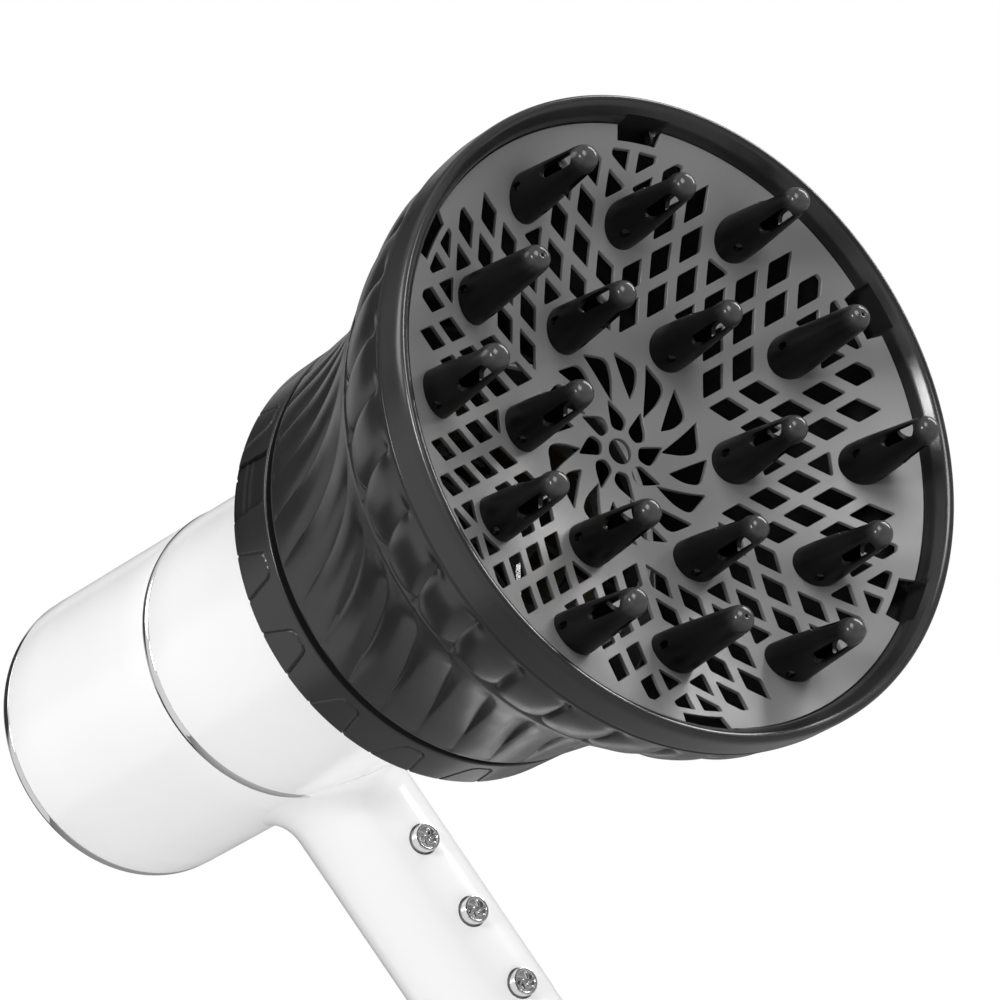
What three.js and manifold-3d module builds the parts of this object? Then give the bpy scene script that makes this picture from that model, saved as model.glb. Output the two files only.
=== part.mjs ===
// Hair dryer with a clip-on curl diffuser, built as an assembly of separate pieces.
// Units are millimetres and +Z is up. The barrel's axis runs along Y: air leaves towards -Y
// and enters at +Y. The origin is the middle of the hand grip, on the handle's axis.

import * as THREE from 'three';
import { mergeVertices } from 'three/addons/utils/BufferGeometryUtils.js';
import Module from 'manifold-3d';

const wasm = await Module();
wasm.setup();

// ---------------------------------------------------------------- driving dimensions

const GAP = 0.3;                  // clearance between pieces that touch
const ROUND = 32;                 // sides of a large round piece
const ROUND_SMALL = 12;           // sides of a small round piece

// Housing
const BARREL_Z = 105;             // height of the barrel's axis over the grip's middle
const BARREL_R = 41.2;            // outer radius at the chrome ring
const BARREL_R_REAR = 42;
const BARREL_R_FRONT = 40;
const BARREL_FRONT_Y = -128;
const BARREL_REAR_Y = 61.4;
const BARREL_WALL = 2.4;
const BORE_R = BARREL_R_FRONT - BARREL_WALL;
const RING_Y = -11.4;             // middle of the inlaid chrome ring
const RING_WIDTH = 3;
const RING_DEPTH = 1.2;
const RING_OPEN_DEG = 22;         // the ring is open at least this far each side of the handle
const REAR_Y = 65.2;              // rear rim of the whole dryer

// Handle
const HANDLE_R = 17.5;
const HANDLE_WALL = 2.4;
const HANDLE_BOTTOM = -168;       // below the barrel's axis
const HANDLE_BLEND = 9;           // size of the blend from handle to barrel
const HANDLE_SIDES = 20;
const BUTTON_DROPS = [64, 87.5, 111];     // below the barrel's axis
const BUTTON_R = 4.1;
const BUTTON_PROUD = 2.3;
const BUTTON_TRAVEL = 1.2;
const CAP_THICK = 3.5;
const SCREW_Y = -9.5;             // the end cap's screw, off the handle's axis
const SCREW_R = 1.6;
const SCREW_HEAD_R = 2.6;
const INLET_R = 5;

// Diffuser, measured rearwards from the plane of its front rim
const RIM_Y = -196;
const RIM_R = 82.3;
const DISH_DEPTH = 28;
const DISH_CURVE = 0.0037;        // the dish rises towards the rim by this times r squared
const PLATE_R = 77;
const PLATE_THICK = 2.2;
const LATTICE_PITCH = 9.25;
const LATTICE_STRIP = 2.6;        // width of a strip between two holes
const LATTICE_R = 7.8 * LATTICE_PITCH;
const LATTICE_TURN = -36;         // degrees from +X to the first sector's middle
const WINDOW_WIDTH = 13;          // snap windows at the plate's edge
const WINDOW_R = 73.3;            // their inner side
const FIRST_CELL = 3;             // rows of cells that the centre flower replaces
const PRONG_R = 6;
const PRONG_TIP_R = 3.4;
const PRONG_LENGTH = 27;
const PRONG_LENGTH_SOLID = 29;
const PRONG_SIDES = 8;
const PRONG_STUD_R = 2.6;
const BOWL_END = 93;              // rear face of the bowl's flange
const NECK_R = 45;                // opening in that flange
const BOWL_WALL = 2.5;
const CLAMP_START = 95.4;
const CLAMP_END = 111.2;
const CLAMP_R = 59.4;
const CLAMP_WALL = 2.8;
const CLAW_COUNT = 6;
const CLAW_TRAVEL = 4;

// ---------------------------------------------------------------- materials

function plastic(color, roughness) {
  return new THREE.MeshStandardMaterial({ color, roughness, metalness: 0 });
}

function metal(color, roughness) {
  return new THREE.MeshStandardMaterial({ color, roughness, metalness: 1 });
}

const white = plastic(0xf4f5f5, 0.25);
const charcoal = plastic(0x3b3c3e, 0.55);
const plateGrey = plastic(0x77797c, 0.4);
const black = plastic(0x0c0c0d, 0.2);
const chrome = metal(0xd8dadd, 0.08);
const steel = metal(0xa7a9ab, 0.35);
const copper = metal(0xb06a3a, 0.4);
const mica = plastic(0xb9a27a, 0.7);
const boardGreen = plastic(0x1f5a38, 0.5);
const rubber = plastic(0x161616, 0.85);

// ---------------------------------------------------------------- solids

// A closed geometry as a solid for joining and cutting.
function solid(geometry) {
  const bare = new THREE.BufferGeometry();
  bare.setAttribute('position', geometry.getAttribute('position'));
  bare.setIndex(geometry.getIndex());
  const merged = mergeVertices(bare, 1e-4);
  const index = merged.getIndex().array;
  const triangles = [];
  for (let i = 0; i < index.length; i += 3) {
    const [a, b, c] = [index[i], index[i + 1], index[i + 2]];
    if (a !== b && b !== c && c !== a) triangles.push(a, b, c);
  }
  const vertProperties = new Float32Array(merged.getAttribute('position').array);
  if (signedVolume(vertProperties, triangles) < 0) triangles.reverse();
  return new wasm.Manifold(new wasm.Mesh({
    numProp: 3, vertProperties, triVerts: new Uint32Array(triangles),
  }));
}

function signedVolume(xyz, triangles) {
  const corner = (i) => new THREE.Vector3(xyz[3 * i], xyz[3 * i + 1], xyz[3 * i + 2]);
  let sum = 0;
  for (let i = 0; i < triangles.length; i += 3) {
    const [a, b, c] = [corner(triangles[i]), corner(triangles[i + 1]), corner(triangles[i + 2])];
    sum += a.dot(b.cross(c));
  }
  return sum;
}

function geometryOf(manifold) {
  const mesh = manifold.getMesh();
  const geometry = new THREE.BufferGeometry();
  geometry.setAttribute('position', new THREE.BufferAttribute(mesh.vertProperties, 3));
  geometry.setIndex(new THREE.BufferAttribute(mesh.triVerts, 1));
  return geometry;
}

function joined(pieces) {
  return pieces.reduce((whole, piece) => whole.add(piece));
}

function cutBy(whole, cutters) {
  return cutters.reduce((rest, cutter) => rest.subtract(cutter), whole);
}

// A solid of revolution about Y from points [radius, y] on a profile that closes on the axis.
function turned(points, sides = ROUND) {
  const profile = points.map(([r, y]) => new THREE.Vector2(r, y));
  return solid(new THREE.LatheGeometry(profile, sides));
}

function rod(r, y0, y1, sides = ROUND_SMALL) {
  return turned([[0, y0], [r, y0], [r, y1], [0, y1]], sides);
}

function tube(outerR, innerR, y0, y1, sides = ROUND) {
  return rod(outerR, y0, y1, sides).subtract(rod(innerR, y0 - 1, y1 + 1, sides));
}

function block(width, depth, height, x = 0, y = 0, z = 0) {
  return solid(new THREE.BoxGeometry(width, depth, height).translate(x, y, z));
}

// A flat outline of [x, z] points, extruded along Y from y0 to y1.
function prism(outline, y0, y1) {
  const shape = new THREE.Shape(outline.map(([x, z]) => new THREE.Vector2(x, z)));
  const geometry = new THREE.ExtrudeGeometry(shape, { depth: y1 - y0, bevelEnabled: false });
  return solid(geometry.rotateX(Math.PI / 2).translate(0, y1, 0));
}

// Rings of points, each ring a closed loop of the same count, skinned and capped.
function loft(rings) {
  const count = rings[0].length;
  const positions = rings.flat(2);
  const index = [];
  for (let k = 0; k + 1 < rings.length; k++) {
    for (let i = 0; i < count; i++) {
      const j = (i + 1) % count;
      const [a, b, c, d] = [k * count + i, k * count + j, (k + 1) * count + i, (k + 1) * count + j];
      index.push(a, b, c, b, d, c);
    }
  }
  const last = (rings.length - 1) * count;
  for (let i = 1; i + 1 < count; i++) {
    index.push(0, i + 1, i, last, last + i, last + i + 1);
  }
  const geometry = new THREE.BufferGeometry();
  geometry.setAttribute('position', new THREE.BufferAttribute(new Float32Array(positions), 3));
  geometry.setIndex(index);
  return solid(geometry);
}

const radians = (degrees) => degrees * Math.PI / 180;

// Turns a solid about Y by an angle from +X towards +Z.
function turnedAboutY(manifold, degrees) {
  return manifold.rotate([0, -degrees, 0]);
}

function polar(r, degrees) {
  return [r * Math.cos(radians(degrees)), r * Math.sin(radians(degrees))];
}

// ---------------------------------------------------------------- the assembly

const dryer = new THREE.Group();
const barrelGroup = new THREE.Group();      // origin on the barrel's axis, over the handle
barrelGroup.position.z = BARREL_Z;
const diffuserGroup = new THREE.Group();    // origin at the middle of the diffuser's rim plane
diffuserGroup.position.y = RIM_Y;
dryer.add(barrelGroup);
barrelGroup.add(diffuserGroup);

function piece(group, name, manifold, material) {
  const mesh = new THREE.Mesh(geometryOf(manifold), material);
  mesh.name = name;
  group.add(mesh);
}

// ---------------------------------------------------------------- housing

// The handle's outside from its foot up into the barrel, blended into the barrel's round.
function handleBody(grow = 0) {
  const handleR = HANDLE_R + grow;
  const level = (r, z) => Array.from({ length: HANDLE_SIDES }, (_, i) => {
    const [x, y] = polar(r, i * 360 / HANDLE_SIDES);
    return [x, y, z];
  });
  const barrelDrop = (x) => -Math.sqrt((BARREL_R + grow) ** 2 - x ** 2);
  const blend = (t) => Array.from({ length: HANDLE_SIDES }, (_, i) => {
    const [ux, uy] = polar(1, i * 360 / HANDLE_SIDES);
    const corner = barrelDrop(handleR * ux);
    const r = handleR + HANDLE_BLEND * t * t;
    const end = barrelDrop((handleR + HANDLE_BLEND) * ux);
    const z = (1 - t) ** 2 * (corner - HANDLE_BLEND) + 2 * t * (1 - t) * corner + t * t * end;
    return [r * ux, r * uy, z];
  });
  return loft([
    level(handleR - 2, HANDLE_BOTTOM), level(handleR, HANDLE_BOTTOM + 2.5),
    blend(0), blend(0.4), blend(0.7), blend(1), level(handleR + HANDLE_BLEND - 1, -20),
  ]);
}

function handleRod(r, z0, z1, sides = HANDLE_SIDES) {
  return rod(r, z0, z1, sides).rotate([90, 0, 0]);
}

function buttonAxis(manifold, drop) {
  return manifold.translate([0, 0, -drop]);
}

function mainHousing() {
  const barrel = turned([
    [0, BARREL_FRONT_Y], [BARREL_R_FRONT - 2, BARREL_FRONT_Y], [BARREL_R_FRONT, BARREL_FRONT_Y + 2],
    [BARREL_R, RING_Y], [BARREL_R_REAR, BARREL_REAR_Y], [0, BARREL_REAR_Y],
  ]);
  const bore = turned([
    [0, BARREL_FRONT_Y - 1], [BORE_R, BARREL_FRONT_Y - 1], [BORE_R + 0.6, RING_Y],
    [BARREL_R_REAR - BARREL_WALL, BARREL_REAR_Y + 1], [0, BARREL_REAR_Y + 1],
  ]);
  const groove = tube(BARREL_R + 5, BARREL_R - RING_DEPTH - GAP,
    RING_Y - RING_WIDTH / 2 - GAP, RING_Y + RING_WIDTH / 2 + GAP);
  const handleBore = handleRod(HANDLE_R - HANDLE_WALL, HANDLE_BOTTOM - 1, -BORE_R + 8);
  const buttonHoles = BUTTON_DROPS.map((drop) =>
    buttonAxis(rod(BUTTON_R + GAP, -HANDLE_R - 2, -HANDLE_R + HANDLE_WALL + 2), drop));
  const grooved = barrel.subtract(groove.subtract(handleBody()));
  return cutBy(grooved.add(handleBody()), [bore, handleBore, ...buttonHoles]);
}

// An inlaid ring that stays open where the handle blends into the barrel.
function chromeRing() {
  const half = RING_WIDTH / 2;
  const ring = turned([
    [0, RING_Y - half], [BARREL_R - 0.1, RING_Y - half], [BARREL_R + 0.35, RING_Y],
    [BARREL_R + 0.1, RING_Y + half], [0, RING_Y + half],
  ]).subtract(rod(BARREL_R - RING_DEPTH, RING_Y - half - 1, RING_Y + half + 1, ROUND));
  const reach = 2 * BARREL_R;
  const side = reach * Math.tan(radians(RING_OPEN_DEG));
  const opening = prism([[0, 0], [side, -reach], [-side, -reach]], RING_Y - 5, RING_Y + 5);
  return cutBy(ring, [opening, handleBody(GAP)]);
}

function rearTrimRing() {
  return turned([
    [0, BARREL_REAR_Y + GAP], [BARREL_R_REAR, BARREL_REAR_Y + GAP], [BARREL_R_REAR, REAR_Y - 1.2],
    [BARREL_R_REAR - 1.2, REAR_Y], [0, REAR_Y],
  ]).subtract(rod(BORE_R + 0.7, BARREL_REAR_Y - 1, REAR_Y + 1, ROUND));
}

// ---------------------------------------------------------------- rear cover and filter

const COVER_R = BORE_R + 0.7 - GAP;
const COVER_SLOTS = 24;           // long and short ones in turn
const COVER_SLOT_WIDTH = 2.4;
const COVER_SLOT_END = 31.5;

function rearCover() {
  const disc = turned([
    [0, REAR_Y - 3.2], [COVER_R, REAR_Y - 3.2], [COVER_R, REAR_Y - 0.6], [0, REAR_Y - 0.6],
  ]);
  const skirt = tube(BORE_R - GAP, BORE_R - 2.3, REAR_Y - 10, REAR_Y - 3);
  const slots = Array.from({ length: COVER_SLOTS }, (_, i) => {
    const start = i % 2 === 0 ? 12.5 : 19.5;
    const slot = block(COVER_SLOT_END - start, 10, COVER_SLOT_WIDTH, (start + COVER_SLOT_END) / 2, REAR_Y, 0);
    return turnedAboutY(slot, i * 360 / COVER_SLOTS);
  });
  return cutBy(disc.add(skirt), slots);
}

function filterScreen() {
  return rod(BORE_R - 2.8, REAR_Y - 5, REAR_Y - 3.7, ROUND);
}

// ---------------------------------------------------------------- motor and fan

const MOTOR_R = 13;
const SHAFT_R = 1.5;
const FAN_R = 34.5;
const FAN_Y = 36;
const FAN_DEPTH = 12;
const FAN_BLADES = 9;
const FAN_HUB_R = 11;

// Fixed vanes that hold the motor in the middle of the airway.
function statorVanes() {
  const sleeve = tube(MOTOR_R + 2.2, MOTOR_R + GAP, 4, 26, 24);
  const rim = tube(BORE_R - GAP, BORE_R - 2.2, 4, 26);
  const reach = BORE_R - 1.2 - (MOTOR_R + 1);
  const vane = block(reach, 18, 1.4, MOTOR_R + 1 + reach / 2, 15, 0);
  const vanes = Array.from({ length: 7 }, (_, i) => turnedAboutY(vane, 90 + i * 360 / 7));
  return joined([sleeve, rim, ...vanes]);
}

function motorCan() {
  const shell = rod(MOTOR_R, 0, 29, 24).subtract(rod(MOTOR_R - 1, 1.5, 30, 24));
  return shell.subtract(rod(SHAFT_R + GAP, -1, 5));
}

function motorEndCap() {
  const cap = rod(MOTOR_R, 29 + GAP, 31, 24).add(rod(4, 30, 33));
  return cap.subtract(rod(SHAFT_R + GAP, 25, 36));
}

function motorShaft() {
  return rod(SHAFT_R, -2, FAN_Y + FAN_DEPTH + 2);
}

function motorRotor() {
  return rod(MOTOR_R - 2.5, 6, 25, 16).subtract(rod(SHAFT_R + GAP, 0, 30));
}

function fanImpeller() {
  const hub = turned([
    [0, FAN_Y], [FAN_HUB_R, FAN_Y], [FAN_HUB_R, FAN_Y + FAN_DEPTH - 4], [5, FAN_Y + FAN_DEPTH],
    [0, FAN_Y + FAN_DEPTH],
  ], 18);
  const length = FAN_R - FAN_HUB_R + 1;
  const blade = block(length, 1.4, 13, 0, 0, 0).rotate([38, 0, 0])
    .translate([FAN_HUB_R - 1 + length / 2, FAN_Y + 5.2, 0]);
  const blades = Array.from({ length: FAN_BLADES }, (_, i) => turnedAboutY(blade, i * 360 / FAN_BLADES));
  const whole = joined([hub, ...blades]);
  return whole.subtract(rod(SHAFT_R + GAP, FAN_Y - 5, FAN_Y + FAN_DEPTH + 5));
}

// ---------------------------------------------------------------- heater

const HEATER_FRONT = -104;
const HEATER_REAR = -26;
const COIL_R = 26;
const COIL_TURNS = 6;
const WIRE_R = 0.9;

function heaterTube() {
  return tube(BORE_R - 1.4, BORE_R - 2.4, HEATER_FRONT - 6, HEATER_REAR + 4, 30);
}

function heaterFrame() {
  const span = 2 * (COIL_R * Math.cos(Math.PI / 12) - WIRE_R - 0.6);
  const middle = (HEATER_FRONT + HEATER_REAR) / 2;
  const length = HEATER_REAR - HEATER_FRONT;
  return block(span, length, 1, 0, middle, 0).add(block(1, length, span, 0, middle, 0));
}

class Helix extends THREE.Curve {
  getPoint(t) {
    const turn = t * COIL_TURNS * 2 * Math.PI;
    const y = HEATER_FRONT + 6 + t * (HEATER_REAR - HEATER_FRONT - 12);
    return new THREE.Vector3(COIL_R * Math.cos(turn), y, COIL_R * Math.sin(turn));
  }
}

function roundShape(r, sides) {
  const corners = Array.from({ length: sides }, (_, i) => polar(r, i * 360 / sides));
  return new THREE.Shape(corners.map(([x, y]) => new THREE.Vector2(x, y)));
}

function alongCurve(curve, r, sides, steps) {
  return solid(new THREE.ExtrudeGeometry(roundShape(r, sides), { steps, extrudePath: curve }));
}

function heaterCoil() {
  return alongCurve(new Helix(), WIRE_R, 4, COIL_TURNS * 12);
}

function thermalCutout() {
  return block(9, 12, 4, 8, HEATER_FRONT + 18, 0.5 + GAP + 2);
}

function thermalFuse() {
  return rod(2, HEATER_FRONT + 40, HEATER_FRONT + 52, 10).translate([8, 0, -0.5 - GAP - 2]);
}

// ---------------------------------------------------------------- outlet

function nozzleRing() {
  return turned([
    [0, BARREL_FRONT_Y + 1], [BORE_R - GAP, BARREL_FRONT_Y + 1], [BORE_R - GAP, BARREL_FRONT_Y + 10],
    [0, BARREL_FRONT_Y + 10],
  ]).subtract(rod(BORE_R - 4, BARREL_FRONT_Y, BARREL_FRONT_Y + 12, ROUND));
}

function outletGrille() {
  const [y0, y1] = [BARREL_FRONT_Y + 10 + GAP, BARREL_FRONT_Y + 12.5];
  const rings = [BORE_R - GAP, 25].map((r) => tube(r, r - 2, y0, y1, 24));
  const cap = rod(12, y0, y1, 16);
  const bar = block(2 * (BORE_R - 1), y1 - y0, 1.6, 0, (y0 + y1) / 2, 0);
  const bars = [0, 60, 120].map((angle) => turnedAboutY(bar, angle));
  return joined([...rings, cap, ...bars]);
}

// ---------------------------------------------------------------- handle contents

const BOARD_Y = -6.4;
const SWITCH_FRONT = -10.2;
const FLANGE_BACK = SWITCH_FRONT - BUTTON_TRAVEL - 0.4;

// Cap, retaining flange behind the handle's wall, and a stem that meets the switch.
function button() {
  const wallInside = -HANDLE_R + HANDLE_WALL;
  const face = -HANDLE_R - BUTTON_PROUD;
  return turned([
    [0, face], [BUTTON_R - 0.5, face], [BUTTON_R, face + 0.5], [BUTTON_R, wallInside + 1.2],
    [BUTTON_R + 1.1, wallInside + 1.2], [BUTTON_R + 1.1, wallInside + 2.2],
    [1.6, wallInside + 2.2], [1.6, FLANGE_BACK], [0, FLANGE_BACK],
  ], 12);
}

function tactSwitch() {
  return block(6, 3.2, 6, 0, SWITCH_FRONT + 1.6, 0);
}

function controlBoard() {
  return block(15, 1.6, 78, 0, BOARD_Y + 0.8 + GAP, -BUTTON_DROPS[1]);
}

function ionGenerator() {
  return block(13, 7, 26, 0, 3.2, -BUTTON_DROPS[1]);
}

class LeadRoute extends THREE.Curve {
  getPoint(t) {
    return new THREE.Vector3(0, 11 * Math.sin(Math.PI * t) ** 0.5, -159 + 118 * t);
  }
}

function powerLead() {
  return alongCurve(new LeadRoute(), 1.8, 8, 10);
}

function endCap() {
  const z0 = HANDLE_BOTTOM;
  const disc = handleRod(HANDLE_R - HANDLE_WALL - GAP, z0, z0 + CAP_THICK);
  const cable = handleRod(INLET_R + GAP, z0 - 1, z0 + 5, ROUND_SMALL);
  const screwHole = handleRod(SCREW_R + GAP, z0 - 1, z0 + 5, 10).translate([0, SCREW_Y, 0]);
  const recess = handleRod(SCREW_HEAD_R + GAP, z0 - 1, z0 + 1.8 + GAP, 10).translate([0, SCREW_Y, 0]);
  return cutBy(disc, [cable, screwHole, recess]);
}

function capScrew() {
  const head = handleRod(SCREW_HEAD_R, HANDLE_BOTTOM + 0.5, HANDLE_BOTTOM + 1.8, 10);
  const shank = handleRod(SCREW_R, HANDLE_BOTTOM + 1.6, HANDLE_BOTTOM + 9, 10);
  return head.add(shank).translate([0, SCREW_Y, 0]);
}

function cordInlet() {
  const z0 = HANDLE_BOTTOM;
  const collarStart = z0 + CAP_THICK + GAP;
  const neck = handleRod(INLET_R, z0, collarStart + 0.4, ROUND_SMALL);
  const collar = handleRod(INLET_R + 1.4, collarStart, z0 + 6, ROUND_SMALL);
  return neck.add(collar).subtract(handleRod(INLET_R - 2, z0 - 1, z0 + 8, ROUND_SMALL));
}

// ---------------------------------------------------------------- diffuser

const dishY = (r) => DISH_DEPTH - DISH_CURVE * r * r;
const DISH_RADII = [0, 42];

// Everything behind the dish's front face, moved rearwards by back.
function behindDish(back, r = PLATE_R, sides = 24) {
  const face = [...DISH_RADII, r].map((radius) => [radius, dishY(radius) + back]);
  return turned([...face, [r, DISH_DEPTH + 40], [0, DISH_DEPTH + 40]], sides);
}

function prongPlaces() {
  const places = [];
  for (let k = 0; k < 6; k++) {
    const corner = LATTICE_TURN + 60 * k;
    places.push({ r: 2 * Math.sqrt(3) * LATTICE_PITCH, angle: corner, ring: 'inner', solidTip: false });
    places.push({ r: 4 * Math.sqrt(3) * LATTICE_PITCH, angle: corner, ring: 'outer', solidTip: false });
    places.push({ r: 6 * LATTICE_PITCH, angle: corner + 30, ring: 'middle', solidTip: k % 2 === 0 });
  }
  return places;
}

// Diamond holes of one sixth of the plate, set along the two edges of the sixth.
function sectorHoles(middle) {
  const [ax, az] = polar(1, middle - 30);
  const [bx, bz] = polar(1, middle + 30);
  const half = (LATTICE_PITCH - LATTICE_STRIP / Math.sin(radians(60))) / 2;
  const rows = Math.ceil(LATTICE_R / LATTICE_PITCH) + 1;
  const holes = [];
  for (let i = 0; i < rows; i++) {
    for (let j = 0; j < rows; j++) {
      const [u, v] = [(i + 0.5) * LATTICE_PITCH, (j + 0.5) * LATTICE_PITCH];
      const centreR = Math.sqrt(u * u + v * v + u * v);
      if (i + j < FIRST_CELL || centreR > LATTICE_R) continue;
      const corner = (du, dv) => [(u + du) * ax + (v + dv) * bx, (u + du) * az + (v + dv) * bz];
      holes.push(prism([corner(-half, -half), corner(half, -half), corner(half, half),
        corner(-half, half)], -10, 60));
    }
  }
  return holes;
}

// A swirling petal between two radii, pointed at its inner end.
function petal(r0, r1, width, sweep) {
  const steps = [0, 0.55, 1];
  const widths = [0.2, 1, 0.25];
  const edge = (side) => steps.map((t, i) => {
    const r = r0 + (r1 - r0) * t;
    const lean = sweep * t * t;
    return polar(r, lean + side * widths[i] * width / 2);
  });
  return prism([...edge(-1), ...edge(1).reverse()], -10, 60);
}

function flowerHoles() {
  const inner = Array.from({ length: 8 }, (_, i) => turnedAboutY(petal(7, 13.5, 30, 22), i * 45));
  const outer = Array.from({ length: 16 }, (_, i) => turnedAboutY(petal(15, 24, 15, 22), i * 22.5));
  return [rod(4.2, -10, 60, 8), ...inner, ...outer];
}

function latticeCutter() {
  const holes = [0, 60, 120, 180, 240, 300].flatMap((angle) => sectorHoles(LATTICE_TURN + angle));
  const field = joined(holes).intersect(rod(LATTICE_R, -20, 70, ROUND));
  const bosses = prongPlaces().map(({ r, angle }) => {
    const [x, z] = polar(r, angle);
    return rod(PRONG_R + 1.4, -20, 70, 8).translate([x, 0, z]);
  });
  return cutBy(field, bosses);
}

function diffuserPlate() {
  const plate = behindDish(0).subtract(behindDish(PLATE_THICK, PLATE_R + 2));
  const studHoles = prongPlaces().map(({ r, angle }) => {
    const [x, z] = polar(r, angle);
    return rod(PRONG_STUD_R + GAP, -10, 60, 6).translate([x, 0, z]);
  });
  const window = block(4, 80, WINDOW_WIDTH, WINDOW_R + 2, 20, 0);
  const windows = [30, 90, 150, 210, 270, 330].map((a) => turnedAboutY(window, LATTICE_TURN + a));
  return cutBy(plate, [latticeCutter(), ...flowerHoles(), ...studHoles, ...windows]);
}

// A tapered prong on the dish, with a stud that passes through the plate.
function prong({ r, angle, solidTip }) {
  const base = dishY(r);
  const length = solidTip ? PRONG_LENGTH_SOLID : PRONG_LENGTH;
  const tip = base - length;
  const cone = turned([
    [0, tip], [PRONG_TIP_R * 0.7, tip + 0.8], [PRONG_TIP_R, tip + 3], [PRONG_R, base + 6],
    [0, base + 6],
  ], PRONG_SIDES);
  const stud = rod(PRONG_STUD_R, base - 6, base + PLATE_THICK + 2.5, 6);
  const [x, z] = polar(r, angle);
  return cone.translate([x, 0, z]).subtract(behindDish(-GAP, PLATE_R + 2)).add(stud.translate([x, 0, z]));
}

const clawAngle = (i) => 90 + i * 360 / CLAW_COUNT;

// Rim, band, waist and fluted rear of the bowl, with a flange that carries the claws.
function diffuserBowl() {
  const waist = [[80.8, 19], [78.2, 28], [73.8, 37], [66.2, 55], [61.6, 73], [CLAMP_R, BOWL_END]];
  const outside = [[0, 0], [80.6, 0], [RIM_R, 3], [RIM_R, 11], ...waist, [0, BOWL_END]];
  const bedR = PLATE_R + 0.8;       // its sides' flats still clear the plate's corners
  const ledgeR = PLATE_R - 1.5;
  const seat = dishY(ledgeR) + PLATE_THICK + 2 * GAP;
  const inside = [
    [0, -1], [79.4, -1], [79.1, 1.4], [bedR, 4.6], [bedR, seat],
    [ledgeR, seat], [ledgeR, seat + 2], [78.9, seat + 2], [78.9, 14.5],
    ...waist.slice(1, -1).map(([r, y]) => [r - BOWL_WALL, y]),
    [CLAMP_R - BOWL_WALL, BOWL_END - 3], [0, BOWL_END - 3],
  ];
  const neck = rod(NECK_R, BOWL_END - 10, BOWL_END + 10, ROUND);
  const spigotR = CLAMP_R - CLAMP_WALL - GAP;
  const spigot = tube(spigotR, spigotR - 1.5, BOWL_END - 1, BOWL_END + 4);
  const slot = block(CLAW_TRAVEL + 6, 20, 5, 48.5 + CLAW_TRAVEL / 2, BOWL_END, 0);
  const slots = Array.from({ length: CLAW_COUNT }, (_, i) => turnedAboutY(slot, clawAngle(i)));
  const shell = turned(outside).subtract(turned(inside));
  return cutBy(shell.subtract(neck).add(spigot), slots);
}

function clampRing() {
  const innerR = CLAMP_R - CLAMP_WALL;
  return turned([
    [0, CLAMP_START], [CLAMP_R, CLAMP_START], [CLAMP_R, CLAMP_END - 1], [CLAMP_R - 1, CLAMP_END],
    [0, CLAMP_END],
  ]).subtract(turned([
    [0, CLAMP_START - 1], [innerR, CLAMP_START - 1], [innerR, CLAMP_END - 2.2],
    [47, CLAMP_END - 2.2], [47, CLAMP_END + 1], [0, CLAMP_END + 1],
  ]));
}

// A claw that grips the barrel, with a peg in the flange's radial slot.
function clampClaw(i) {
  const gripR = BARREL_R + GAP;
  const body = block(9.4, 9.4, 15, 47, BOWL_END + 10.2, 0);
  const grip = body.subtract(rod(gripR, 80, 120, ROUND));
  const peg = block(4, 12, 4, 47.9, BOWL_END + 2, 0);
  return turnedAboutY(grip.add(peg), clawAngle(i));
}

// ---------------------------------------------------------------- all pieces

piece(barrelGroup, 'main_housing', mainHousing(), white);
piece(barrelGroup, 'chrome_ring', chromeRing(), chrome);
piece(barrelGroup, 'rear_trim_ring', rearTrimRing(), chrome);
piece(barrelGroup, 'rear_cover', rearCover(), white);
piece(barrelGroup, 'filter_screen', filterScreen(), steel);
piece(barrelGroup, 'stator_vanes', statorVanes(), charcoal);
piece(barrelGroup, 'motor_can', motorCan(), steel);
piece(barrelGroup, 'motor_end_cap', motorEndCap(), charcoal);
piece(barrelGroup, 'motor_rotor', motorRotor(), copper);
piece(barrelGroup, 'motor_shaft', motorShaft(), steel);
piece(barrelGroup, 'fan_impeller', fanImpeller(), black);
piece(barrelGroup, 'heater_tube', heaterTube(), mica);
piece(barrelGroup, 'heater_frame', heaterFrame(), mica);
piece(barrelGroup, 'heater_coil', heaterCoil(), steel);
piece(barrelGroup, 'thermal_cutout', thermalCutout(), black);
piece(barrelGroup, 'thermal_fuse', thermalFuse(), white);
piece(barrelGroup, 'nozzle_ring', nozzleRing(), charcoal);
piece(barrelGroup, 'outlet_grille', outletGrille(), black);
piece(barrelGroup, 'control_board', controlBoard(), boardGreen);
piece(barrelGroup, 'ion_generator', ionGenerator(), black);
piece(barrelGroup, 'power_lead', powerLead(), rubber);
piece(barrelGroup, 'end_cap', endCap(), white);
piece(barrelGroup, 'cap_screw', capScrew(), steel);
piece(barrelGroup, 'cord_inlet', cordInlet(), rubber);
['power', 'speed', 'heat'].forEach((use, i) => {
  const drop = BUTTON_DROPS[i];
  piece(barrelGroup, `${use}_button`, buttonAxis(button(), drop), chrome);
  piece(barrelGroup, `${use}_switch`, buttonAxis(tactSwitch(), drop), black);
});
piece(diffuserGroup, 'diffuser_bowl', diffuserBowl(), charcoal);
piece(diffuserGroup, 'diffuser_plate', diffuserPlate(), plateGrey);
const ringCounts = {};
for (const place of prongPlaces()) {
  ringCounts[place.ring] = (ringCounts[place.ring] ?? 0) + 1;
  piece(diffuserGroup, `${place.ring}_prong_${ringCounts[place.ring]}`, prong(place), black);
}
piece(diffuserGroup, 'clamp_ring', clampRing(), charcoal);
for (let i = 0; i < CLAW_COUNT; i++) {
  piece(diffuserGroup, `clamp_claw_${i + 1}`, clampClaw(i), rubber);
}

export default dryer;
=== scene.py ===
import math

import bmesh
import bpy
import numpy as np
from mathutils import Matrix, Vector


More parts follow.
